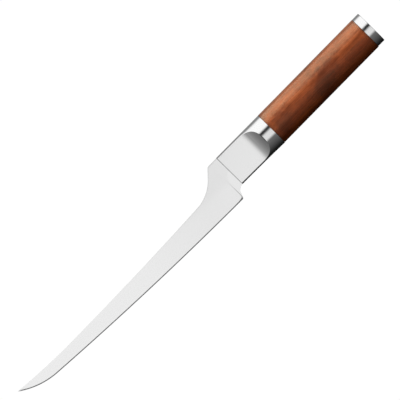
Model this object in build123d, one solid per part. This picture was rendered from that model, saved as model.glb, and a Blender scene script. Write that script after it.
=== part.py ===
from build123d import *
import os
from math import acos, cos, radians, sin, sqrt, tan

# Fillet knife, lying on its side, in millimetres.
# The origin is the centre of the flat butt. +X runs from the butt to the tip, +Y points to the
# cutting edge and +Z out of the left side. Depths are measured from the handle's axis towards +Y.

# Lengths along the knife, from the butt forward
cap_length = 5.8
handle_length = 92.8
bolster_length = 40.8
blade_length = 210.9

# Oval section of the handle, which the cap and the rear of the bolster share
handle_width = 25.85
handle_thickness = 18.0
seam_break = 0.2

# Bolster: oval band at the wood, and a flat on each side that runs out in an arc. The flats lean
# to each other towards the edge, and their thickness is taken at the axis.
bolster_band = 7.5
bolster_spine_flare = 0.125
bolster_edge_draw = 0.325
ramp_radius = 17.0
flat_thickness = 7.8
flat_tilt = 4.1
bolster_front_break = 0.5
socket_depth = 6.0
socket_wall = 2.2

# Blade outline
shoulder_inset = 0.15
neck_length = 8.6
neck_slope = 45.8
neck_corner_radius = 2.3
neck_hollow_radius = 28.8
spine_root_depth = 1.45
spine_low_depth = 4.63
spine_low_share = 0.766
tip_depth = 2.18
belly_depth = 12.72
belly_share = 0.864
heel_depth = 20.05
heel_corner_radius = 1.5
edge_lift_angle = 0.5
choil_inset = 0.05
choil_radius = 5.3
choil_slope = 68.0

# Blade thickness: plate, the flat grind that thins it to the edge and the tip, and the edge bevel
plate_thickness = 1.8
grind_root_depth = 6.2
grind_end_depth = 3.2
grind_end_share = 0.3
edge_thickness = 0.4
bevel_angle = 15.0

# Tang behind the blade
tang_root_width = 11.0
tang_tail_width = 6.0
tang_reach = 20.0

# Tie rod, washer and nut in the wood
rod_diameter = 6.0
thread_diameter = 5.0
rod_slot_depth = 14.0
rod_shoulder = 12.0
thread_end_gap = 3.2
washer_diameter = 12.5
washer_thickness = 1.0
nut_across_flats = 8.0
nut_height = 4.0

# Bores of the wood and the plug of the cap
bore_diameter = 9.0
counterbore_diameter = 14.0
counterbore_depth = 16.0
plug_length = 5.0
butt_edge_break = 0.4

# Clearances and overrun
fit_gap = 0.1
overrun = 5.0

# Stations along X
wood_rear_x = cap_length
wood_front_x = wood_rear_x + handle_length
blade_root_x = wood_front_x + bolster_length
tang_tail_x = wood_front_x - tang_reach
counterbore_floor_x = wood_rear_x + counterbore_depth
thread_end_x = wood_rear_x + plug_length + thread_end_gap

# Half widths of the bolster's front, on the spine side and on the edge side
bolster_front_spine = handle_width / 2 + bolster_spine_flare
bolster_front_edge = handle_width / 2 - bolster_edge_draw


def section_plane(x, depth=0.0):
    """A plane across the knife at X, looking forward, with its own x along Y and its y along Z."""
    return Plane(origin=(x, depth, 0), x_dir=(0, 1, 0), z_dir=(1, 0, 0))


def oval_bar(x_start, x_end, inset=0.0):
    """A straight bar of the handle's oval, inset all round by the given wall."""
    oval = Ellipse(handle_width / 2 - inset, handle_thickness / 2 - inset)
    return extrude(section_plane(x_start) * oval, x_end - x_start)


def round_bar(x_start, x_end, diameter):
    """A round bar on the handle's axis."""
    return extrude(section_plane(x_start) * Circle(diameter / 2), x_end - x_start)


def nearest(vertices, point):
    """The vertex that lies nearest to a point of the outline."""
    return min(vertices, key=lambda vertex: (Vector(vertex) - point).length)


def tang_half_width(x):
    """The tang narrows in a straight line from the blade's shoulders to its tail."""
    share = (blade_root_x - x) / (blade_root_x - tang_tail_x)
    return (tang_root_width + (tang_tail_width - tang_root_width) * share) / 2


def tang_profile(x_tail, x_root, gap=0.0):
    """The tang's tapered outline in plan, grown by a gap on both edges."""
    tail_half = tang_half_width(x_tail) + gap
    root_half = tang_half_width(x_root) + gap
    corners = [(x_tail, -tail_half), (x_root, -root_half), (x_root, root_half), (x_tail, tail_half)]
    return make_face(Polyline(*corners, close=True))


# Blade

shoulder_depth = bolster_front_spine - shoulder_inset
shoulder = Vector(blade_root_x, -shoulder_depth)
neck_corner = shoulder + Vector(neck_length, 0)
neck_run = (shoulder_depth + spine_root_depth) / tan(radians(neck_slope))
spine_root = Vector(neck_corner.X + neck_run, spine_root_depth)
spine_low = Vector(blade_root_x + blade_length * spine_low_share, spine_low_depth)
tip = Vector(blade_root_x + blade_length, tip_depth)
belly = Vector(blade_root_x + blade_length * belly_share, belly_depth)
choil_root = Vector(blade_root_x, bolster_front_edge - choil_inset)
choil_turn = radians(choil_slope)
choil_top = choil_root + Vector(sin(choil_turn), 1 - cos(choil_turn)) * choil_radius
heel = Vector(choil_top.X + (heel_depth - choil_top.Y) / tan(choil_turn), heel_depth)


def cutting_edge():
    """The long edge from the heel, and the belly that sweeps up from it to the tip."""
    lift = radians(edge_lift_angle)
    edge = TangentArc(heel, belly, tangent=(cos(lift), -sin(lift)))
    return edge, TangentArc(belly, tip, tangent=edge % 1)


def blade_face():
    """The blade in plan, without its tang: neck, hollow, swaybacked spine, edge, heel and choil."""
    edge, sweep_up = cutting_edge()
    sides = [
        Line(choil_root, shoulder),
        Line(shoulder, neck_corner),
        Line(neck_corner, spine_root),
        TangentArc(spine_low, spine_root, tangent=(-1, 0)),
        TangentArc(spine_low, tip, tangent=(1, 0)),
        sweep_up,
        edge,
        Line(heel, choil_top),
        TangentArc(choil_root, choil_top, tangent=(1, 0)),
    ]
    face = make_face(Curve() + sides)
    face = fillet(nearest(face.vertices(), neck_corner), neck_corner_radius)
    face = fillet(nearest(face.vertices(), spine_root), neck_hollow_radius)
    return fillet(nearest(face.vertices(), heel), heel_corner_radius)


def grind_plane(side):
    """The flat grind of one side: full thickness at the neck, thinner to the edge and the tip."""
    half = plate_thickness / 2
    start = Vector(blade_root_x, grind_root_depth, half)
    end = Vector(blade_root_x + blade_length * grind_end_share, grind_end_depth, half)
    at_heel = heel + Vector(0, 0, edge_thickness / 2)
    normal = (end - start).cross(at_heel - start)
    return Plane(origin=(start.X, start.Y, side * start.Z), z_dir=(normal.X, normal.Y, side * normal.Z))


def bevel_envelope():
    """What the two edge bevels leave: a slab that tapers to nothing all along the cutting edge."""
    edge, sweep_up = cutting_edge()
    back = heel_depth + handle_width
    past_tip = tip + (sweep_up % 1) * overrun
    past_heel = heel - (edge % 0) * (overrun + choil_radius)
    corner_front = (past_tip.X, past_tip.Y - back)
    corner_rear = (past_heel.X, past_tip.Y - back)
    sides = [
        Line(past_heel, heel),
        edge,
        sweep_up,
        Line(tip, past_tip),
        Line(past_tip, corner_front),
        Line(corner_front, corner_rear),
        Line(corner_rear, past_heel),
    ]
    left_half = extrude(make_face(Curve() + sides), plate_thickness, taper=90 - bevel_angle)
    return left_half + mirror(left_half, about=Plane.XY)


def make_blade():
    """Plate, ground flat on both sides, bevelled along the edge, with its tang left at full thickness."""
    blade = extrude(blade_face(), plate_thickness / 2, both=True)
    for side in (1, -1):
        blade = split(blade, bisect_by=grind_plane(side), keep=Keep.BOTTOM)
    blade = blade & bevel_envelope()
    tang = extrude(tang_profile(tang_tail_x, blade_root_x), plate_thickness / 2, both=True)
    return blade + tang


# Bolster

def ramp_cutter():
    """What is ground off the left side: the flat and the arc that lifts off it up to the band."""
    apex = Vector(wood_front_x + bolster_band, 0, handle_thickness / 2)
    rise = apex.Z - flat_thickness / 2
    run = sqrt(rise * (2 * ramp_radius - rise))
    slope = acos(1 - rise / ramp_radius)
    foot = apex + Vector(run, 0, -rise)
    above = apex + Vector(-overrun, 0, overrun * tan(slope))
    beyond = Vector(blade_root_x + overrun, 0, foot.Z)
    top_corner = Vector(beyond.X, 0, above.Z)
    sides = [
        Line(above, apex),
        TangentArc(foot, apex, tangent=(-1, 0, 0)),
        Line(foot, beyond),
        Line(beyond, top_corner),
        Line(top_corner, above),
    ]
    cutter = extrude(make_face(Curve() + sides), handle_width, dir=(0, 1, 0), both=True)
    return cutter.rotate(Axis.X, -flat_tilt)


def make_bolster():
    """Oval block drawn in slightly to the front, with both flats, the wood's socket and the tang's slot."""
    rear = section_plane(wood_front_x) * Ellipse(handle_width / 2, handle_thickness / 2)
    front_depth = (bolster_front_edge - bolster_front_spine) / 2
    front_half_width = (bolster_front_edge + bolster_front_spine) / 2
    front = section_plane(blade_root_x, front_depth) * Ellipse(front_half_width, handle_thickness / 2)
    block = loft([rear.face(), front.face()], ruled=True)
    block = chamfer(block.faces().sort_by(Axis.X)[0].edges(), seam_break)
    cutter = ramp_cutter()
    block = block - cutter - mirror(cutter, about=Plane.XY)
    block = chamfer(block.faces().sort_by(Axis.X)[-1].edges(), bolster_front_break)
    socket = oval_bar(wood_front_x - overrun, wood_front_x + socket_depth, socket_wall)
    slot_face = tang_profile(wood_front_x, blade_root_x + overrun, fit_gap)
    slot = extrude(slot_face, plate_thickness / 2 + fit_gap, both=True)
    return block - socket - slot


# Wooden handle

def make_handle():
    """Oval length of wood with a tenon for the bolster, a bore for the rod and a counterbore at the butt."""
    body = oval_bar(wood_rear_x, wood_front_x)
    ends = body.faces().filter_by(Axis.X).edges()
    body = chamfer(ends, seam_break)
    tenon = oval_bar(wood_front_x - overrun, wood_front_x + socket_depth - fit_gap, socket_wall + fit_gap)
    bore = round_bar(wood_rear_x - overrun, wood_front_x + socket_depth + overrun, bore_diameter)
    counterbore = round_bar(wood_rear_x - overrun, counterbore_floor_x, counterbore_diameter)
    return body + tenon - bore - counterbore


# Hardware inside the handle

washer_front_x = counterbore_floor_x
nut_front_x = washer_front_x - washer_thickness
rod_front_x = tang_tail_x + rod_slot_depth
thread_start_x = tang_tail_x - rod_shoulder


def make_tang_rod():
    """Round tie rod, slotted at the front to straddle the tang's tail, turned down for its thread."""
    rod = round_bar(thread_start_x, rod_front_x, rod_diameter)
    thread = round_bar(thread_end_x, thread_start_x, thread_diameter)
    slot_face = tang_profile(tang_tail_x, rod_front_x + overrun, rod_diameter)
    slot = extrude(slot_face, plate_thickness / 2, both=True)
    return rod + thread - slot


def make_clamp_washer():
    """Plain washer on the floor of the counterbore."""
    disc = round_bar(nut_front_x, washer_front_x, washer_diameter)
    return disc - round_bar(nut_front_x - overrun, washer_front_x + overrun, thread_diameter)


def make_clamp_nut():
    """Hexagon nut that pulls the blade, the bolster and the wood together."""
    hexagon = RegularPolygon(nut_across_flats / 2, 6, major_radius=False)
    nut = extrude(section_plane(nut_front_x - nut_height) * hexagon, nut_height)
    return nut - round_bar(nut_front_x - nut_height - overrun, nut_front_x + overrun, thread_diameter)


def make_tang_bedding(blade, rod):
    """The cured filler that takes up the bore round the tang and the rod."""
    fill = round_bar(washer_front_x, wood_front_x + socket_depth - fit_gap, bore_diameter)
    return fill - blade - rod


# End cap

def make_end_cap():
    """Steel cap of the handle's oval, with a round plug that is glued into the counterbore."""
    cap = oval_bar(0, wood_rear_x)
    cap = chamfer(cap.faces().sort_by(Axis.X)[0].edges(), butt_edge_break)
    cap = chamfer(cap.faces().sort_by(Axis.X)[-1].edges(), seam_break)
    return cap + round_bar(0, wood_rear_x + plug_length, counterbore_diameter - 2 * fit_gap)


blade = make_blade()
tang_rod = make_tang_rod()
pieces = {
    "blade": blade,
    "bolster": make_bolster(),
    "handle": make_handle(),
    "end_cap": make_end_cap(),
    "tang_rod": tang_rod,
    "clamp_washer": make_clamp_washer(),
    "clamp_nut": make_clamp_nut(),
    "tang_bedding": make_tang_bedding(blade, tang_rod),
}

os.makedirs("parts", exist_ok=True)
for name, piece in pieces.items():
    export_step(piece, f"parts/{name}.step")
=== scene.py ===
from math import copysign, cos, pi, radians, sin, tan

import bmesh
import bpy
import numpy as np
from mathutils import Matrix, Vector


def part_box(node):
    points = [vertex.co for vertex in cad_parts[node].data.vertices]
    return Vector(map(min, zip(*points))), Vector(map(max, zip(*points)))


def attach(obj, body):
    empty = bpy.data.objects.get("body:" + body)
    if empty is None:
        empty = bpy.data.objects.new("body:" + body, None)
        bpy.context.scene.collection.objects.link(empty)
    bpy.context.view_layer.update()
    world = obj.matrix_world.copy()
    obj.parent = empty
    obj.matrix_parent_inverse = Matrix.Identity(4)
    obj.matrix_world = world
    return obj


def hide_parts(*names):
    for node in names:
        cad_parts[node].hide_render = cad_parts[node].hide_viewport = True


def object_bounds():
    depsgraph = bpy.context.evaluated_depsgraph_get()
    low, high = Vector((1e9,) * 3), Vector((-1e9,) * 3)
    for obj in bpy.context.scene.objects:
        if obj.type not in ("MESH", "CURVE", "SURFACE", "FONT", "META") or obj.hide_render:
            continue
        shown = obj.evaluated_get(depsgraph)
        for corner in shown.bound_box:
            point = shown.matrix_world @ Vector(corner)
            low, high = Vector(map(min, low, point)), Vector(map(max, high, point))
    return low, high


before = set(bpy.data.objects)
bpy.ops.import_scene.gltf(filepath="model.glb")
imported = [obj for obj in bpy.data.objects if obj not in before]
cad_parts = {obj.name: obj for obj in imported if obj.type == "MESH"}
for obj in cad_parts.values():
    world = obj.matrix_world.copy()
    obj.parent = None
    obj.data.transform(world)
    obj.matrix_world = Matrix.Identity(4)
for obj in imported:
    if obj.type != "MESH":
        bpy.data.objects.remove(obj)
cad_low, cad_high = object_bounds()


# Studio
# The knife lies on its side on a white table and is seen from straight above. White screens light it, one
# overhead and a larger one beyond the spine with a dark slot between them. Beyond the cutting edge the room
# is dark.

mm = 0.001


def add(tree, kind, inputs=(), **settings):
    """A new shader node. Settings are its own options, inputs pairs a socket with a value or a socket to
    join."""
    made = tree.nodes.new(kind)
    for name, value in settings.items():
        setattr(made, name, value)
    for socket, value in dict(inputs).items():
        if isinstance(value, bpy.types.NodeSocket):
            tree.links.new(value, made.inputs[socket])
        else:
            made.inputs[socket].default_value = value
    return made


def worked(tree, operation, first, second=0.0):
    """One sum on two values or sockets."""
    return add(tree, "ShaderNodeMath", {0: first, 1: second}, operation=operation).outputs[0]


def rescaled(tree, value, low, high, to_low=0.0, to_high=1.0, curve="LINEAR"):
    """Turns a value between low and high into one between to_low and to_high, and holds it beyond them."""
    return add(
        tree, "ShaderNodeMapRange",
        {"Value": value, "From Min": low, "From Max": high, "To Min": to_low, "To Max": to_high},
        interpolation_type=curve,
    ).outputs["Result"]


def ramp(tree, factor, stops):
    """A colour ramp through (share, colour) stops. A colour is one grey level, or red, green and blue."""
    made = add(tree, "ShaderNodeValToRGB", {"Fac": factor})
    elements = made.color_ramp.elements
    while len(elements) < len(stops):
        elements.new(1.0)
    for element, (share, colour) in zip(elements, stops):
        element.position = share
        element.color = (*np.broadcast_to(colour, 3), 1.0)
    return made.outputs["Color"]


def ramp_over(tree, place, unit, stops):
    """A colour ramp through (place, colour) stops, whose places are counted in a unit."""
    low, high = stops[0][0], stops[-1][0]
    share = rescaled(tree, place, low * unit, high * unit)
    return ramp(tree, share, [((stop - low) / (high - low), colour) for stop, colour in stops])


# Numbers of the colour sockets of a Mix node
first_colour, second_colour, mixed_colour = 6, 7, 2


def mixed(tree, factor, first, second, how="MIX"):
    """Two colours, mixed by a factor or multiplied."""
    return add(
        tree, "ShaderNodeMix", {"Factor": factor, first_colour: first, second_colour: second},
        data_type="RGBA", blend_type=how,
    ).outputs[mixed_colour]


def place_in_scene(name, data, place=(0.0, 0.0, 0.0), turn=(0.0, 0.0, 0.0)):
    """A new object in the scene for a mesh, a camera or a light."""
    made = bpy.data.objects.new(name, data)
    made.location = place
    made.rotation_euler = turn
    bpy.context.scene.collection.objects.link(made)
    return made


# What the steel mirrors: brightness by the angle in degrees from straight up, counted to the spine side
room_by_angle = [
    (-180, 0.02), (-112, 0.0095), (-97, 0.024), (-86, 0.036), (-76, 0.054), (-60, 0.088), (-47, 0.118),
    (-36, 0.147), (-28, 0.17), (-24, 0.47), (-18, 0.92), (-4, 0.91), (0, 0.89), (3, 0.82), (6.5, 0.52),
    (10, 0.10), (12.5, 0.03), (19, 0.03), (22, 0.44), (26, 1.08), (31, 1.20), (76, 1.22), (88, 1.12),
    (97, 0.92), (104, 0.50), (112, 0.31), (180, 0.26),
]
# How much of that is left, by the angle in degrees counted to the tip
room_along_knife = [
    (-90, 0.45), (-45, 0.62), (-24, 1.0), (0, 1.0), (9, 0.98), (14, 0.94), (19, 0.86), (23, 0.76),
    (28, 0.62), (33, 0.50), (38, 0.42), (48, 0.33), (58, 0.27), (75, 0.205), (90, 0.19),
]
room_white = 1.02


def build_room():
    """World light: a ramp over the angle across the knife, times one over the angle along it. The angle
    across is the arc tangent of a direction's part towards the spine over what is left of its length, which
    counts as positive upward. The angle along is the arc sine of its part towards the tip."""
    world = bpy.data.worlds.new("studio_room")
    world.use_nodes = True
    tree = world.node_tree
    tree.nodes.clear()
    direction = add(tree, "ShaderNodeTexCoord").outputs["Generated"]
    way = add(tree, "ShaderNodeSeparateXYZ", {0: direction}).outputs
    to_spine = worked(tree, "MULTIPLY", way["Y"], -1.0)
    square = worked(tree, "MULTIPLY", to_spine, to_spine)
    rest = worked(tree, "SQRT", worked(tree, "SUBTRACT", 1.0, square))
    height = worked(tree, "MULTIPLY", rest, worked(tree, "SIGN", way["Z"]))
    across = worked(tree, "ARCTAN2", to_spine, height)
    along = worked(tree, "ARCSINE", way["X"])
    light = mixed(
        tree, 1.0, ramp_over(tree, across, radians(1), room_by_angle),
        ramp_over(tree, along, radians(1), room_along_knife), how="MULTIPLY",
    )
    lit = add(tree, "ShaderNodeBackground", {"Color": light})
    seen = add(tree, "ShaderNodeBackground", {"Color": (room_white, room_white, room_white, 1.0)})
    to_camera = add(tree, "ShaderNodeLightPath").outputs["Is Camera Ray"]
    room = add(tree, "ShaderNodeMixShader", {0: to_camera, 1: lit.outputs[0], 2: seen.outputs[0]})
    add(tree, "ShaderNodeOutputWorld", {"Surface": room.outputs[0]})
    world.cycles_visibility.diffuse = False
    return world


bpy.context.scene.world = build_room()
bpy.context.scene.view_settings.view_transform = "Standard"

# Soft light that falls on the wood alone, from the spine side and a little from the edge side
key_angle = radians(66)
fill_angle = radians(-33)
key_power = 34.0
fill_power = 2.1
lamp_distance = 1.3
lamp_size = (1.8, 1.4)

middle = (cad_low + cad_high) / 2
lit_by_lamps = bpy.data.collections.new("lit_by_lamps")
for name, angle, power in (("key_light", key_angle, key_power), ("fill_light", fill_angle, fill_power)):
    soft = bpy.data.lights.new(name, "AREA")
    soft.shape = "RECTANGLE"
    soft.size, soft.size_y = lamp_size
    soft.energy = power
    place = (middle.x, middle.y - lamp_distance * sin(angle), lamp_distance * cos(angle))
    lamp = place_in_scene(name, soft, place, (angle, 0.0, 0.0))
    lamp.visible_camera = False
    lamp.light_linking.receiver_collection = lit_by_lamps

# The camera looks straight down through a long lens. The knife lies along the picture's falling diagonal.
picture_width = 275.6 * mm
picture_turn = radians(134.486)
picture_middle = (167.83 * mm, -0.68 * mm)
film_width = 36.0
lens = 1000.0

camera_data = bpy.data.cameras.new("camera")
camera_data.sensor_width = film_width
camera_data.lens = lens
camera_place = (*picture_middle, picture_width * lens / film_width)
bpy.context.scene.camera = place_in_scene("camera", camera_data, camera_place, (0.0, 0.0, picture_turn))

# The white table under the knife's lowest side, which isn't mirrored in the steel
table_half = 4.0
table_white = 1.02


def lay_table():
    """One flat square that glows in a plain white."""
    corners = table_half * np.array([[-1, -1, 0], [1, -1, 0], [1, 1, 0], [-1, 1, 0]], float)
    corners[:, 2] = cad_low.z
    mesh = bpy.data.meshes.new("table")
    mesh.from_pydata(corners, [], [(0, 1, 2, 3)])
    paint = bpy.data.materials.new("table_white")
    paint.use_nodes = True
    shader = paint.node_tree.nodes["Principled BSDF"]
    shader.inputs["Base Color"].default_value = (0.0, 0.0, 0.0, 1.0)
    shader.inputs["Roughness"].default_value = 1.0
    shader.inputs["Specular IOR Level"].default_value = 0.0
    shader.inputs["Emission Color"].default_value = (1.0, 1.0, 1.0, 1.0)
    shader.inputs["Emission Strength"].default_value = table_white
    mesh.materials.append(paint)
    table = place_in_scene("table", mesh)
    table.visible_glossy = False
    table.visible_diffuse = False


lay_table()


# Blade
# One strip of stainless steel with its tapered tang behind it. The outline is cut, the sides are ground flat
# so that the strip thins to the edge and the tip, the edge is bevelled, and the whole is satin finished.


def corners_mm(node):
    """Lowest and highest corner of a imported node, in millimetres."""
    low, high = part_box(node)
    return np.array(low) / mm, np.array(high) / mm


(tail_x, shoulder_y, _), (tip_x, heel_y, plate_half) = corners_mm("blade")
root_x = corners_mm("bolster")[1][0]

# Places on the outline as lengths from the bolster and depths from the axis: neck, slope and swayback along
# the spine, then notch, heel and belly along the edge
neck_length = 8.6
spine_root_length, spine_root_depth = 22.55, 1.45
spine_low_length, spine_low_depth = 161.55, 4.63
tip_depth = 2.05
belly_length, belly_depth = 182.22, 12.72
choil_depth = 12.55
neck_corner = np.array([root_x + neck_length, shoulder_y])
neck_slope = radians(45.8)
neck_corner_radius = 2.3
neck_hollow_radius = 28.8
spine_root = np.array([root_x + spine_root_length, spine_root_depth])
spine_low = np.array([root_x + spine_low_length, spine_low_depth])
tip = np.array([tip_x, tip_depth])
belly = np.array([root_x + belly_length, belly_depth])
choil_root = np.array([root_x, choil_depth])
choil_radius = 5.3
choil_turn = radians(68)
choil_top = choil_root + choil_radius * np.array([sin(choil_turn), 1 - cos(choil_turn)])
heel = np.array([choil_top[0] + (heel_y - choil_top[1]) / tan(choil_turn), heel_y])
heel_corner = 1.5
edge_lift = radians(0.5)
# The grind starts from a line on the plate, which it leaves softly
grind_start_depth = 6.2
grind_end_length, grind_end_depth = 63.27, 3.2
grind_start = np.array([root_x, grind_start_depth, plate_half])
grind_end = np.array([root_x + grind_end_length, grind_end_depth, plate_half])
grind_ease = 0.12
# Half thickness at the heel, then the bevel's angle and its width
edge_half = 0.2
edge_bevel = radians(17)
bevel_width = 0.75
# The bevel is wider at the heel and at the tip, and narrows over a reach
heel_bevel_width, heel_bevel_reach = 1.5, 2.0
tip_bevel_width, tip_bevel_reach = 1.1, 3.0
# Near the tip the sides rise no steeper than this from the bevel
most_tip_slope = radians(4)
# Easing of the spine, and of the walls where no bevel is ground
spine_ease = 0.06
wall_ease = 0.05
tang_half_widths = (3.0, 5.5)
tang_relief = 0.03
# Rows of the mesh along the notch, its land, the heel's corner and the rest, and points across
notch_rows, land_rows, corner_rows, blade_rows, bevel_start_rows = 18, 7, 12, 160, 4
ease_points, flat_points = 11, 20
# An easing and a bevel take no more than these shares of the width, and the easing leaves at least this
# share of the rim's height
most_ease_share, most_bevel_share = 0.2, 0.5
least_rim_share = 0.3
least_sine = 0.4
# Width below which the strip thins to its point
point_width = 0.6
# Stands in for a length of nothing where one is divided by
tiny = 1e-9


def circle_through(start, angle, end):
    """Circle that leaves start along an angle and meets end: its signed radius is the chord squared over
    twice the chord's rise from that angle."""
    chord = end - start
    across = np.array([-sin(angle), cos(angle)])
    radius = chord @ chord / (2 * chord @ across)
    return start + radius * across, radius


def depth_on(circle, x):
    """Depth of the circle's near side at X: the centre's depth, less the root of radius squared minus
    distance squared."""
    centre, radius = circle
    return centre[1] - copysign(1, radius) * np.sqrt(np.maximum(radius**2 - (x - centre[0]) ** 2, 0))


def eased(x, depth, corner, angle_in, angle_out, radius):
    """Rounds one corner of a line depth(X): between the two tangent points it follows the circle of the
    radius."""
    turn = angle_out - angle_in
    reach = radius * tan(abs(turn) / 2)
    start = corner - reach * np.array([cos(angle_in), sin(angle_in)])
    end_x = corner[0] + reach * cos(angle_out)
    signed = copysign(radius, turn)
    centre = start + signed * np.array([-sin(angle_in), cos(angle_in)])
    return np.where((x > start[0]) & (x < end_x), depth_on((centre, signed), x), depth)


def spine_depth(x):
    """Neck line, then the slope, then two arcs that share a level tangent at the low point, with eased
    corners."""
    rear = circle_through(spine_low, 0.0, spine_root)
    front = circle_through(spine_low, 0.0, tip)
    swayback = np.where(x < spine_low[0], depth_on(rear, x), depth_on(front, x))
    slope = neck_corner[1] + (x - neck_corner[0]) * tan(neck_slope)
    depth = np.maximum(neck_corner[1], np.where(x < spine_root[0], slope, swayback))
    root_angle = (spine_low[0] - spine_root[0]) / abs(rear[1])
    depth = eased(x, depth, neck_corner, 0.0, neck_slope, neck_corner_radius)
    return eased(x, depth, spine_root, neck_slope, root_angle, neck_hollow_radius)


def edge_depth(x):
    """A long shallow arc from the heel to the belly, and a tighter one on the same tangent up to the
    tip."""
    long_arc = circle_through(heel, -edge_lift, belly)
    chord = belly - heel
    belly_angle = 2 * np.arctan2(chord[1], chord[0]) + edge_lift
    sweep = circle_through(belly, belly_angle, tip)
    return np.where(x < belly[0], depth_on(long_arc, x), depth_on(sweep, x))


def smooth_step(share):
    """Three times the share squared less twice its cube, for shares held between 0 and 1."""
    share = np.clip(share, 0, 1)
    return share**2 * (3 - 2 * share)


def blade_lines():
    """The spine line and the edge line as pairs of points, with how much of the bevel each pair has. The
    edge line is the notch's arc, its straight land, the heel's corner arc, then rows at one minus cosine of
    an even turn, which stand closer together near the heel and the tip. The last one before the tip would
    be too thin and is left out."""
    turn = np.linspace(0, choil_turn, notch_rows)[:, None]
    notch = choil_root + choil_radius * np.concatenate([np.sin(turn), 1 - np.cos(turn)], axis=1)
    reach = heel_corner * tan((choil_turn + edge_lift) / 2)
    corner_start = heel - reach * np.array([cos(choil_turn), sin(choil_turn)])
    corner_centre = corner_start + heel_corner * np.array([sin(choil_turn), -cos(choil_turn)])
    land = choil_top + (corner_start - choil_top) * np.linspace(0, 1, land_rows)[1:, None]
    turn = np.linspace(choil_turn, -edge_lift, corner_rows)[1:, None]
    corner = corner_centre + heel_corner * np.concatenate([-np.sin(turn), np.cos(turn)], axis=1)
    behind = np.concatenate([notch, land, corner])
    start_x = corner[-1, 0]
    turn = np.delete(np.linspace(0, pi, blade_rows)[1:], -2)
    x = start_x + (tip_x - start_x) * (1 - np.cos(turn)) / 2
    edge = np.concatenate([behind, np.stack([x, edge_depth(x)], -1)])
    spine_x = np.concatenate([np.linspace(root_x, start_x, len(behind)), x])
    spine = np.stack([spine_x, spine_depth(spine_x)], -1)
    past_land = np.arange(len(edge)) - (notch_rows + land_rows - 2)
    return spine, edge, smooth_step(past_land / bevel_start_rows)


def ground_half(x, y):
    """Half thickness of the ground strip: the lower of the plate and the grind plane, with the root of
    their difference squared plus the ease squared taken off, so that they meet softly."""
    normal = np.cross(grind_end - grind_start, np.array([heel[0], heel_y, edge_half]) - grind_start)
    plane = plate_half - ((x - grind_start[0]) * normal[0] + (y - grind_start[1]) * normal[1]) / normal[2]
    return (plate_half + plane - np.sqrt((plate_half - plane) ** 2 + grind_ease**2)) / 2


def run_against(way, line):
    """Sine of the angle between the sections' straight runs and a line along the blade."""
    step = np.gradient(line, axis=0)
    step /= np.maximum(np.hypot(step[:, 0], step[:, 1]), tiny)[:, None]
    return np.clip(np.abs(way[:, 0] * step[:, 1] - way[:, 1] * step[:, 0]), least_sine, 1.0)


def blade_loops():
    """Sections from tang to tip, each a straight run from spine line to edge line. The half thickness is
    the ground strip, no higher than a slope up from the bevel near the tip. It is led smoothly to the
    bevel's height, then goes straight down to the edge, and all of it thins to nothing at the point."""
    spine, edge, bevelled = blade_lines()
    run = edge - spine
    width = np.maximum(np.hypot(run[:, 0], run[:, 1]), tiny)
    way = run / width[:, None]
    spine_sine, edge_sine = run_against(way, spine), run_against(way, edge)
    past_heel = np.maximum(edge[:, 0] - heel[0], 0)
    before_tip = tip_x - edge[:, 0]
    wide = bevel_width + (heel_bevel_width - bevel_width) * np.exp(-past_heel / heel_bevel_reach)
    wide += (tip_bevel_width - bevel_width) * np.exp(-before_tip / tip_bevel_reach)
    rounding = np.minimum(spine_ease / spine_sine, most_ease_share * width)
    bevel = np.minimum((wall_ease + (wide - wall_ease) * bevelled) / edge_sine, most_bevel_share * width)
    quarter = np.linspace(0, pi / 2, ease_points)
    between = np.linspace(0, 1, flat_points + 2)[1:-1]
    place = np.concatenate([
        rounding[:, None] * (1 - np.cos(quarter)),
        rounding[:, None] + (width - rounding - bevel)[:, None] * between,
        (width - bevel)[:, None],
        width[:, None],
    ], axis=1)
    plan = spine[:, None] + way[:, None] * place[..., None]
    half = ground_half(plan[..., 0], plan[..., 1])
    bevel_height = bevel * edge_sine * tan(edge_bevel)
    from_bevel = np.maximum((width - bevel)[:, None] - place, 0)
    half = np.minimum(half, bevel_height[:, None] + tan(most_tip_slope) * from_bevel)
    to_bevel = bevelled[:, None] * smooth_step(place / (width - bevel)[:, None])
    half += to_bevel * (bevel_height - half[:, -2])[:, None]
    rim = half[:, :ease_points]
    drop = (rounding * spine_sine)[:, None] * (1 - np.sin(quarter))
    half[:, :ease_points] = np.maximum(rim - drop, least_rim_share * rim)
    half[:, -1] = (half[:, -2] - wall_ease) * (1 - bevelled)
    half = np.maximum(half, 0) * np.minimum(width / point_width, 1)[:, None]
    tang_share = place[0] / width[0]
    tang_x = np.array([tail_x, tail_x, root_x])
    tang_half = np.interp(tang_x, [tail_x, root_x], tang_half_widths)
    tang = np.zeros((len(tang_x), len(tang_share), 3))
    tang[..., 0] = tang_x[:, None]
    tang[..., 1] = tang_half[:, None] * (2 * tang_share - 1)
    tang[1:, :, 2] = plate_half - tang_relief
    top = np.concatenate([tang, np.concatenate([plan, half[..., None]], axis=-1)])
    bottom = top * np.array([1, 1, -1])
    return np.concatenate([top[:, ::-1], bottom], axis=1)


# In metres: points closer together than the first are one point, faces thinner than the second have no area
same_place, no_area = 1e-7, 1e-8


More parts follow.
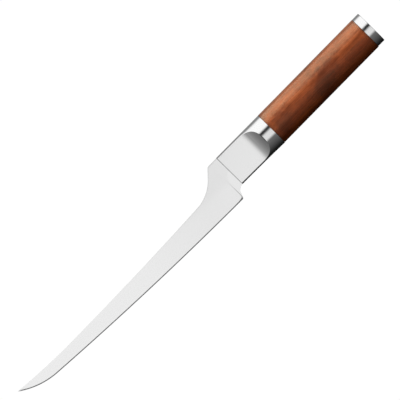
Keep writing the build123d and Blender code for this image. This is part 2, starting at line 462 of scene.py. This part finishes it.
def skin(name, loops, endless=False, crease=radians(28), painted_sheen=None):
    """A closed skin over a row of section loops: each point joins the next in its loop and the same one in
    the next loop. An endless row joins its last loop to its first. Painted sheen marks the ground points,
    whose grey is painted lighter. Points that fall together are merged, and the skin is shaded smooth up
    to the crease angle."""
    rows, points = loops.shape[:2]
    i = np.arange(rows if endless else rows - 1)[:, None] + np.zeros((1, points), int)
    j = np.arange(points)[None, :] + np.zeros_like(i)
    next_i, next_j = (i + 1) % rows, (j + 1) % points
    corners = [i * points + j, i * points + next_j, next_i * points + next_j, next_i * points + j]
    mesh = bpy.data.meshes.new(name)
    mesh.from_pydata(loops.reshape(-1, 3) * mm, [], np.stack(corners, axis=-1).reshape(-1, 4))
    if painted_sheen is not None:
        marks = mesh.attributes.new("painted_sheen", "FLOAT", "POINT")
        marks.data.foreach_set("value", painted_sheen.astype(np.float32).ravel())
    work = bmesh.new()
    work.from_mesh(mesh)
    bmesh.ops.remove_doubles(work, verts=work.verts, dist=same_place)
    bmesh.ops.dissolve_degenerate(work, dist=no_area, edges=work.edges)
    work.to_mesh(mesh)
    work.free()
    mesh.shade_smooth()
    mesh.set_sharp_from_angle(angle=crease)
    return place_in_scene(name, mesh)


# Noise level at which a finishing line starts and is full, and how strongly it shows
line_start, line_full = 0.3, 0.7
line_detail = 3.0
line_strength = 0.3


def steel(name, tone, roughness, line_length, line_width, line_depth, line_axis="Y"):
    """Metal with fine finishing lines along one axis: noise stretched that way varies roughness and
    height."""
    metal = bpy.data.materials.new(name)
    metal.use_nodes = True
    tree = metal.node_tree
    shader = tree.nodes["Principled BSDF"]
    shader.inputs["Base Color"].default_value = (*tone, 1.0)
    shader.inputs["Metallic"].default_value = 1.0
    scale = [1 / (line_length * mm) if axis == line_axis else 1 / (line_width * mm) for axis in "XYZ"]
    place = add(tree, "ShaderNodeTexCoord").outputs["Object"]
    lines = add(tree, "ShaderNodeMapping", {"Vector": place, "Scale": scale}).outputs[0]
    settings = {"Vector": lines, "Scale": 1.0, "Detail": line_detail}
    grain = add(tree, "ShaderNodeTexNoise", settings).outputs["Fac"]
    tree.links.new(rescaled(tree, grain, line_start, line_full, *roughness), shader.inputs["Roughness"])
    height = {"Height": grain, "Strength": line_strength, "Distance": line_depth * mm}
    tree.links.new(add(tree, "ShaderNodeBump", height).outputs["Normal"], shader.inputs["Normal"])
    return metal


def painted_reflection_along(metal, tones):
    """Lets the metal's grey change along the knife as painted reflection: lighter where the steel mirrors
    more light, darker where it mirrors less.
    """
    tree = metal.node_tree
    place = add(tree, "ShaderNodeSeparateXYZ", {0: add(tree, "ShaderNodeTexCoord").outputs["Object"]})
    grey = ramp_over(tree, place.outputs["X"], mm, tones)
    tree.links.new(grey, tree.nodes["Principled BSDF"].inputs["Base Color"])


blade_crease = radians(9.5)
blade_grey = (0.8, 0.8, 0.8)
blade_roughness = (0.11, 0.16)
belt_lines = {"line_length": 6.0, "line_width": 0.12, "line_depth": 0.002}
# Grey of the blade by X in millimetres: painted reflection along the knife
blade_painted_reflection_tones = [(root_x, 0.885), (160.0, 0.865), (170.0, 0.865), (230.0, 0.92), (tip_x, 0.935)]

blade = skin("blade_ground", blade_loops(), crease=blade_crease)
blade_satin = steel("blade_satin", blade_grey, blade_roughness, **belt_lines)
painted_reflection_along(blade_satin, blade_painted_reflection_tones)
blade.data.materials.append(blade_satin)
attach(blade, "root")
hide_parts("blade")


# Bolster
# A solid steel block, oval at the wood and drawn in slightly to the front. A flat is ground on each side
# and runs out towards the wood in a curved ramp, so that it ends in an arch. The block has a socket for the
# wood's tenon and a slot for the tang.

bolster_low, bolster_high = corners_mm("bolster")
cap_low, cap_high = corners_mm("end_cap")
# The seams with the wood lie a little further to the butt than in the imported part, and the front further on
seam_shift = 0.2
front_reach = 0.15
rear_x = bolster_low[0] - seam_shift
front_x = bolster_high[0] + front_reach
oval_half = cap_high[1:]
front_half_width = 12.8
front_shift = -0.25
rear_swell = 0.2
# The ground flat and its ramp
band = 8.18
ramp_radius = 15.8
arch_length = 12.5
flat_half_thickness = 3.7
flat_tilt = radians(2.9)
front_untwist = radians(1.5)
front_thinning = 0.2
ramp_skew = 0.022
flat_crown = 0.1
# Eased ends, and eased corners as reach on the flat and down the side
front_ease = 0.5
rear_ease = 0.15
edge_corner_ease = 0.25
spine_corner_ease = (0.3, 2.6)
corner_pull = 2 / 3
most_corner_share = 0.3
# Inside
socket_wall = 2.2
socket_depth = 6.0
slot_half = (5.6, 1.0)
slot_power = 0.15
# Rows of the mesh along the knife, and points across
ease_rows, band_rows, ramp_rows, flat_rows = 6, 6, 80, 20
side_points, corner_points, ground_points = 13, 9, 27
ramp_lead = 0.1


def flat_height(x):
    """Height of what is ground off, at the axis: a straight fall from the band, then an arc that lies down
    on the flat, whose height is the flat's plus radius less the root of radius squared minus distance
    squared."""
    apex = rear_x + band
    rise = oval_half[1] - flat_half_thickness
    foot = apex + np.sqrt(rise * (2 * ramp_radius - rise))
    slope = np.arccos(1 - rise / ramp_radius)
    before = oval_half[1] + (apex - x) * np.tan(slope)
    back = np.clip(foot - x, 0, foot - apex)
    arc = flat_half_thickness + ramp_radius - np.sqrt(ramp_radius**2 - back**2)
    return np.where(x < apex, before, arc)


def flat_ends(height, tilt, half_y, half_z, shift):
    """Angles on the oval where the tilted ground line z = height - y tan(tilt) meets it, at the edge side
    and the spine side. Where the line misses the oval both are the same point of its top."""
    lean = half_y * np.tan(tilt)
    level = height - shift * np.tan(tilt)
    reach = np.hypot(half_z, lean)
    toward = np.arctan2(half_z, lean)
    open_half = np.arccos(np.clip(level / reach, -1, 1))
    return toward - open_half, toward + open_half


def drawn_in(x, end, inward, radius):
    """How far a rounded end draws the outline in: the radius less the root of radius squared minus distance
    squared."""
    past = np.maximum(radius - inward * (x - end), 0)
    return radius - np.sqrt(np.maximum(radius**2 - past**2, 0))


def corner_curve(start, start_pull, end_pull, end):
    """A cubic curve from start to end, without its first point, with a pull along the surface at each
    end."""
    t = np.linspace(0, 1, corner_points)[None, 1:, None]
    near, far = start + start_pull, end + end_pull
    return (1 - t) ** 3 * start + 3 * t * (1 - t) ** 2 * near + 3 * t**2 * (1 - t) * far + t**3 * end


def bolster_rows():
    """X of the sections: close together on the eased ends and from the apex of the arch on."""
    apex = rear_x + band - ramp_lead
    quarter = np.linspace(0, pi / 2, ease_rows)
    return np.concatenate([
        rear_x + rear_ease * (1 - np.cos(quarter)),
        np.linspace(rear_x + rear_ease, apex, band_rows)[1:-1],
        apex + arch_length * np.linspace(0, 1, ramp_rows) ** 2,
        np.linspace(apex + arch_length, front_x - front_ease, flat_rows)[1:-1],
        front_x - front_ease + front_ease * np.sin(quarter),
    ])


def bolster_outside():
    """Sections from the wood to the blade: an oval cut off by the ground line above and below. Each side
    follows the oval, each flat is slightly crowned between its two ends, and the corners between them are
    eased. Beside them comes a mark that is 1 on the ground points, whose grey is painted lighter as sheen."""
    x = bolster_rows()
    apex = rear_x + band
    inset = drawn_in(x, rear_x, 1, rear_ease) + drawn_in(x, front_x, -1, front_ease)
    share = (x - rear_x) / (front_x - rear_x)
    swell = rear_swell * (1 - share) ** 3
    half_y = oval_half[0] + (front_half_width - oval_half[0]) * share + swell - inset
    half_z = oval_half[1] - inset
    shift = front_shift * share + swell
    past_arch = np.sqrt(np.clip((x - apex - arch_length / 2) / (front_x - apex - arch_length / 2), 0, 1))
    height = flat_height(x) - front_thinning * past_arch - inset
    tilt = flat_tilt - front_untwist * past_arch + ramp_skew * np.gradient(flat_height(x), x)
    edge_angle, spine_angle = flat_ends(height, tilt, half_y, half_z, shift)

    def on_oval(angle):
        """Points of each section's oval at an angle."""
        return np.stack([half_y[:, None] * np.cos(angle), half_z[:, None] * np.sin(angle)], -1)

    def up_oval(angle, length):
        """A short way along the oval at an angle, towards its top."""
        way = np.stack([-half_y * np.sin(angle), half_z * np.cos(angle)], -1)
        way *= np.sign(np.cos(angle))[:, None]
        return (way / np.linalg.norm(way, axis=-1, keepdims=True) * length[:, None])[:, None]

    edge_end, spine_end = on_oval(edge_angle[:, None]), on_oval(spine_angle[:, None])
    width = np.linalg.norm(spine_end - edge_end, axis=-1)[:, 0]
    grown = np.clip((x - apex) / arch_length, 0, 1)
    most = most_corner_share * width
    edge_reach = np.minimum(edge_corner_ease, most)
    spine_reach, spine_drop = (np.minimum(reach * grown, most) for reach in spine_corner_ease)
    edge_speed, spine_speed = (
        np.hypot(half_y * np.sin(angle), half_z * np.cos(angle)) for angle in (edge_angle, spine_angle)
    )
    edge_start = edge_angle - edge_reach / edge_speed
    spine_start = spine_angle + spine_drop / spine_speed
    up_side = np.sin(np.linspace(0, pi / 2, side_points))
    edge_side = on_oval(edge_start[:, None] * up_side)
    spine_side = on_oval(pi - (pi - spine_start)[:, None] * up_side)
    line = (spine_end - edge_end) / np.maximum(width, tiny)[:, None, None]
    edge_inward, spine_inward = line * edge_reach[:, None, None], -line * spine_reach[:, None, None]
    edge_in, spine_in = edge_end + edge_inward, spine_end + spine_inward
    edge_pull, spine_pull = up_oval(edge_start, edge_reach), up_oval(spine_start, spine_drop)
    edge_curve = corner_curve(
        edge_side[:, -1:], edge_pull * corner_pull, -edge_inward * corner_pull, edge_in)
    spine_curve = corner_curve(
        spine_side[:, -1:], spine_pull * corner_pull, -spine_inward * corner_pull, spine_in)
    across = (1 - np.cos(np.linspace(0, pi, ground_points)))[None, 1:-1, None] / 2
    flat = edge_in + (spine_in - edge_in) * across
    flat[..., 1:] += flat_crown * grown[:, None, None] * 4 * across * (1 - across)
    top = np.concatenate([edge_side, edge_curve, flat, spine_curve[:, ::-1], spine_side[:, ::-1]], axis=1)
    ground = np.zeros(top.shape[:2])
    first = edge_side.shape[1] + edge_curve.shape[1] - 1
    ground[x > apex, first:first + flat.shape[1] + 1] = 1
    ring = np.concatenate([top, top[:, -2:0:-1] * np.array([1, -1])], axis=1)
    ring[..., 0] += shift[:, None]
    rows = np.broadcast_to(x[:, None, None], (*ring.shape[:2], 1))
    return np.concatenate([rows, ring], axis=-1), np.concatenate([ground, ground[:, -2:0:-1]], axis=1)


def loop_at(x, angle, half_y, half_z, power=1.0, shift=0.0):
    """A loop across the knife at X: half sizes times cosine and sine, each to a power that is 1 for an oval
    and small for nearly a rectangle."""
    c, s = np.cos(angle), np.sin(angle)
    return np.stack([
        np.full_like(angle, x),
        shift + half_y * np.sign(c) * np.abs(c) ** power,
        half_z * np.sign(s) * np.abs(s) ** power,
    ], -1)


def bolster_loops():
    """The outside, then back through the tang's slot, the floor of the socket and the socket's wall."""
    outside, painted_sheen = bolster_outside()
    last = outside[-1]
    angle = np.arctan2(last[:, 2] / flat_half_thickness, (last[:, 1] - front_shift) / front_half_width)
    socket_floor = rear_x + socket_depth
    socket_half = oval_half - socket_wall
    inside = np.stack([
        loop_at(front_x, angle, *slot_half, slot_power),
        loop_at(socket_floor, angle, *slot_half, slot_power),
        loop_at(socket_floor, angle, *socket_half),
        loop_at(rear_x, angle, *socket_half),
    ])
    return np.concatenate([outside, inside]), np.concatenate([painted_sheen, np.zeros(inside.shape[:2])])


def painted_sheen_where_ground(metal, polish, painted_sheen):
    """The ground flats get a lighter grey than the polish round them: painted sheen for the brighter
    reflection of their satin.
    """
    tree = metal.node_tree
    mark = add(tree, "ShaderNodeAttribute", attribute_name="painted_sheen").outputs["Fac"]
    tone = mixed(tree, mark, (*polish, 1.0), (*painted_sheen, 1.0))
    tree.links.new(tone, tree.nodes["Principled BSDF"].inputs["Base Color"])


polish_grey = (0.79, 0.79, 0.79)
# The flats' lighter grey is painted sheen for the wider bright reflection of their satin
flat_painted_sheen_grey = (0.86, 0.86, 0.86)
polish_roughness = (0.08, 0.14)
polish_lines = {"line_length": 5.0, "line_width": 0.1, "line_depth": 0.001}

loops, painted_sheen_points = bolster_loops()
bolster = skin("bolster_ground", loops, endless=True, painted_sheen=painted_sheen_points)
bolster_polish = steel("bolster_polish", polish_grey, polish_roughness, **polish_lines)
painted_sheen_where_ground(bolster_polish, polish_grey, flat_painted_sheen_grey)
bolster.data.materials.append(bolster_polish)
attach(bolster, "root")
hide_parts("bolster")


# Handle
# One length of reddish brown wood with its grain along the knife, turned to an oval, with a tenon for the
# bolster, a bore for the tang and a counterbore at the butt. It is oiled to a satin gloss.

cap_length = 5.8
wood_rear, wood_front = cap_low[0] + cap_length + seam_shift, rear_x
tenon_x = corners_mm("handle")[1][0]
counterbore_x = corners_mm("clamp_washer")[1][0]
wood_swell = np.array([0.145, 0.0])
wood_half = oval_half + wood_swell
wood_shift = 0.045
wood_ease = 0.35
tenon_inset = 2.3
bore_half = 4.5
counterbore_half = 7.0
wood_ease_rows, wood_rows = 4, 24
around = np.linspace(0, 2 * pi, 160, endpoint=False)


def quarter_round(end, inward, radius, rows):
    """X and inset of the rows of a rounded end, counted from the end."""
    quarter = np.linspace(0, pi / 2, rows)
    return list(zip(end + inward * radius * (1 - np.cos(quarter)), radius * (1 - np.sin(quarter))))


def handle_loops():
    """Ovals along the outside and the tenon, then round loops back through the bore and the counterbore."""
    rear = quarter_round(wood_rear, 1, wood_ease, wood_ease_rows)
    front = quarter_round(wood_front, -1, wood_ease, wood_ease_rows)[::-1]
    barrel = [(x, 0.0) for x in np.linspace(wood_rear, wood_front, wood_rows + 2)[1:-1]]
    stations = rear + barrel + front
    outside = [loop_at(x, around, *(wood_half - inset), shift=wood_shift) for x, inset in stations]
    inside = [
        loop_at(wood_front, around, *(oval_half - tenon_inset)),
        loop_at(tenon_x, around, *(oval_half - tenon_inset)),
        loop_at(tenon_x, around, bore_half, bore_half),
        loop_at(counterbore_x, around, bore_half, bore_half),
        loop_at(counterbore_x, around, counterbore_half, counterbore_half),
        loop_at(wood_rear, around, counterbore_half, counterbore_half),
    ]
    return np.stack(outside + inside)


# Colour of the timber by the depth from the axis towards the edge, with painted light in it: lighter
# and yellower towards the spine side, where the light falls, and painted shade at the spine side's rim.
# The ramp also holds the timber's own bands.
timber_and_painted_light_across = [
    (-13.0, (0.235, 0.090, 0.046)), (-12.6, (0.235, 0.090, 0.046)), (-11.2, (0.285, 0.080, 0.032)),
    (-9.6, (0.335, 0.070, 0.021)), (-8.2, (0.375, 0.084, 0.026)), (-6.2, (0.350, 0.073, 0.0215)),
    (-4.6, (0.415, 0.102, 0.035)), (-2.8, (0.370, 0.084, 0.0245)), (-0.5, (0.385, 0.078, 0.0215)),
    (3.0, (0.290, 0.045, 0.0105)), (6.5, (0.260, 0.042, 0.0098)), (10.0, (0.375, 0.070, 0.012)),
    (12.4, (0.290, 0.054, 0.0115)),
]
# Towards the bolster these bands, and the painted light in them, sag to the edge side, but not at the
# spine's rim
band_sag = 2.0
sag_from, sag_to = 68.0, 98.0
steady_rim, moving_bands = -14.0, -9.0
band_drift = 2.0
# A noise's level lies round this middle
noise_middle = 0.5
# Noises that are stretched along the grain: length, width, detail, seed, and weight in the growth's tone
grain_layers = {
    "fibre": (9.0, 0.35, 3.0, 3.1, 0.20),
    "band": (30.0, 2.2, 2.0, 8.4, 0.32),
    "mottle": (5.0, 3.2, 2.0, 2.6, 0.22),
    "cloud": (20.0, 8.0, 2.0, 5.7, 0.26),
}
grain_roughness = 0.55
# What dark and light growth make of the timber's colour
growth_tones = [(0.36, (0.58, 0.54, 0.51)), (0.50, (1.0, 1.0, 1.0)), (0.64, (1.42, 1.50, 1.56))]
# Smoky patches of the figure: middle, reach along and across, lean to the bolster, strength, and X of the
# sharp front side, if it has one
smoky_patches = [
    ((48.0, 2.5), (19.5, 15.0), 0.85, 1.0, 58.6),
    ((91.0, 3.0), (12.5, 10.5), 0.50, 1.0, 94.2),
    ((74.0, -1.0), (20.0, 2.8), 0.0, 0.5, None),
    ((54.0, -6.2), (24.0, 2.4), 0.0, 0.5, None),
]
smoky_tone = (0.55, 0.53, 0.70)
patch_rim, patch_core, patch_fray = 1.05, 0.25, 0.5
sharp_half, left_past_side = 1.2, 0.5
# Painted shade at the seams with the cap and the bolster: what is left of the colour by the distance
# from the wood's end
painted_seam_shade = [(0.0, (0.66, 0.78, 0.95)), (0.8, (0.76, 0.84, 1.0)), (2.2, (1.0, 1.0, 1.0))]
# Gloss of the oil, and the fibres' height
oil_roughness = (0.22, 0.30)
oil_level = 0.29
oil_tint = (1.0, 0.95, 0.60, 1.0)
fibre_strength = 0.15
fibre_depth = 0.03


def oiled_wood():
    """Figured reddish wood: bands of timber colour with painted light and shade across them, times the
    growth that the grain's noises add up to, times the smoky patches and the painted shade at the ends. A
    patch fades with the root of the summed squares of the distances from its middle, each over its reach."""
    wood = bpy.data.materials.new("oiled_wood")
    wood.use_nodes = True
    tree = wood.node_tree
    shader = tree.nodes["Principled BSDF"]
    place = add(tree, "ShaderNodeTexCoord").outputs["Object"]
    axes = add(tree, "ShaderNodeSeparateXYZ", {0: place}).outputs

    def noise(length, width, detail, seed):
        """Noise stretched along the grain."""
        scale = (1 / (length * mm), 1 / (width * mm), 1 / (width * mm))
        mapping = {"Vector": place, "Location": (seed, seed, seed), "Scale": scale}
        grain = add(tree, "ShaderNodeMapping", mapping).outputs[0]
        settings = {"Vector": grain, "Scale": 1.0, "Detail": detail, "Roughness": grain_roughness}
        return add(tree, "ShaderNodeTexNoise", settings).outputs["Fac"]

    layers = {layer: noise(*settings[:-1]) for layer, settings in grain_layers.items()}
    growth = 0.0
    for layer, settings in grain_layers.items():
        growth = worked(tree, "ADD", growth, worked(tree, "MULTIPLY", layers[layer], settings[-1]))
    clouding = worked(tree, "SUBTRACT", layers["cloud"], noise_middle)
    mottling = worked(tree, "SUBTRACT", layers["mottle"], noise_middle)
    drift = worked(tree, "MULTIPLY", clouding, band_drift * mm)
    sag = rescaled(tree, axes["X"], sag_from * mm, sag_to * mm, to_high=band_sag * mm, curve="SMOOTHSTEP")
    free = rescaled(tree, axes["Y"], steady_rim * mm, moving_bands * mm, curve="SMOOTHSTEP")
    drifting_y = worked(tree, "ADD", axes["Y"], drift)
    bands = worked(tree, "SUBTRACT", drifting_y, worked(tree, "MULTIPLY", sag, free))
    # Timber bands with painted light and painted shade across the knife
    timber_with_painted_light = ramp_over(tree, bands, mm, timber_and_painted_light_across)
    colour = mixed(tree, 1.0, timber_with_painted_light, ramp(tree, growth, growth_tones), how="MULTIPLY")
    for (x, y), (along, across), lean, strength, sharp_x in smoky_patches:
        leaning = worked(tree, "SUBTRACT", axes["X"], worked(tree, "MULTIPLY", axes["Y"], lean))
        from_x = worked(tree, "DIVIDE", worked(tree, "SUBTRACT", leaning, (x - lean * y) * mm), along * mm)
        from_y = worked(tree, "DIVIDE", worked(tree, "SUBTRACT", axes["Y"], y * mm), across * mm)
        squares = worked(tree, "ADD", worked(tree, "POWER", from_x, 2.0), worked(tree, "POWER", from_y, 2.0))
        fray = worked(tree, "MULTIPLY", mottling, patch_fray)
        far = worked(tree, "ADD", worked(tree, "SQRT", squares), fray)
        patch = rescaled(tree, far, patch_rim, patch_core, to_high=strength, curve="SMOOTHSTEP")
        if sharp_x:
            front, back = (sharp_x + sharp_half) * mm, (sharp_x - sharp_half) * mm
            drifting_x = worked(tree, "ADD", axes["X"], drift)
            before = rescaled(tree, drifting_x, front, back, to_low=left_past_side, curve="SMOOTHSTEP")
            patch = worked(tree, "MULTIPLY", patch, before)
        colour = mixed(tree, patch, colour, (*smoky_tone, 1.0), how="MULTIPLY")
    # Painted shade on the wood beside both seams
    for end, inward in ((wood_rear, 1.0), (wood_front, -1.0)):
        depth = worked(tree, "MULTIPLY", worked(tree, "SUBTRACT", axes["X"], end * mm), inward)
        colour = mixed(tree, 1.0, colour, ramp_over(tree, depth, mm, painted_seam_shade), how="MULTIPLY")
    tree.links.new(colour, shader.inputs["Base Color"])
    rough = rescaled(tree, layers["fibre"], line_start, line_full, *oil_roughness)
    tree.links.new(rough, shader.inputs["Roughness"])
    shader.inputs["Specular IOR Level"].default_value = oil_level
    shader.inputs["Specular Tint"].default_value = oil_tint
    height = {"Height": layers["fibre"], "Strength": fibre_strength, "Distance": fibre_depth * mm}
    tree.links.new(add(tree, "ShaderNodeBump", height).outputs["Normal"], shader.inputs["Normal"])
    return wood


handle = skin("handle_wood", handle_loops(), endless=True)
handle.data.materials.append(oiled_wood())
lit_by_lamps.objects.link(handle)
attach(handle, "root")
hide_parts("handle")


# Inner hardware
# Tie rod, washer and nut of bare turned steel pull the knife together inside the wood, and a cured filler
# beds the tang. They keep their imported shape.

bare_grey, nut_grey = (0.55, 0.55, 0.56), (0.50, 0.50, 0.52)
bare_roughness, nut_roughness = (0.30, 0.45), (0.32, 0.50)
turning_lines = {"line_length": 0.2, "line_width": 2.0, "line_depth": 0.01, "line_axis": "X"}
tumbled_marks = {"line_length": 0.4, "line_width": 0.4, "line_depth": 0.01}
hardware = {
    "tang_rod": steel("turned_rod", bare_grey, bare_roughness, **turning_lines),
    "clamp_washer": steel("stamped_washer", bare_grey, bare_roughness, **tumbled_marks),
    "clamp_nut": steel("cold_headed_nut", nut_grey, nut_roughness, **tumbled_marks),
}
# Amber filler with a slight cloud from its mixing
filler_cloud = 4.5
filler_detail = 4.0
filler_tones = [(0.35, (0.30, 0.20, 0.09)), (0.65, (0.42, 0.31, 0.16))]
filler_roughness = 0.45


def cured_filler():
    """Amber filler whose colour follows a soft noise."""
    filler = bpy.data.materials.new("cured_filler")
    filler.use_nodes = True
    tree = filler.node_tree
    shader = tree.nodes["Principled BSDF"]
    place = add(tree, "ShaderNodeTexCoord").outputs["Object"]
    settings = {"Vector": place, "Scale": 1 / (filler_cloud * mm), "Detail": filler_detail}
    cloud = add(tree, "ShaderNodeTexNoise", settings).outputs["Fac"]
    tree.links.new(ramp(tree, cloud, filler_tones), shader.inputs["Base Color"])
    shader.inputs["Roughness"].default_value = filler_roughness
    return filler


hardware["tang_bedding"] = cured_filler()
for node, finish in hardware.items():
    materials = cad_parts[node].data.materials
    materials.clear()
    materials.append(finish)


# End cap
# A steel cap of the same oval with a round plug, glued into the counterbore and polished nearly flush with
# the wood.

cap_rear, cap_front = cap_low[0], wood_rear
plug_x = cap_high[0]
plug_half = 6.9
butt_ease = 0.3
cap_inset = np.array([0.07, 0.0])
cap_half = oval_half - cap_inset
cap_shift = -0.11
butt_shares = (0.0, 0.5, 0.97)
cap_ease_rows, cap_rows = 6, 2


def cap_loops():
    """Ovals from the butt's centre over the rim to the wood, then round loops along the plug to its end."""
    butt = [(cap_rear, cap_half - (cap_half - butt_ease) * share) for share in butt_shares]
    rim = quarter_round(cap_rear, 1, butt_ease, cap_ease_rows)
    side = [(x, 0.0) for x in np.linspace(cap_rear + butt_ease, cap_front - rear_ease, cap_rows + 2)[1:-1]]
    seam = quarter_round(cap_front, -1, rear_ease, cap_ease_rows)[::-1]
    stations = butt + rim + side + seam
    ovals = [loop_at(x, around, *(cap_half - inset), shift=cap_shift) for x, inset in stations]
    plug = [(cap_front, plug_half), (plug_x, plug_half), (plug_x, 0.0)]
    return np.stack(ovals + [loop_at(x, around, half, half) for x, half in plug])


cap = skin("end_cap_polished", cap_loops())
cap.data.materials.append(bolster_polish)
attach(cap, "root")
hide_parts("end_cap")
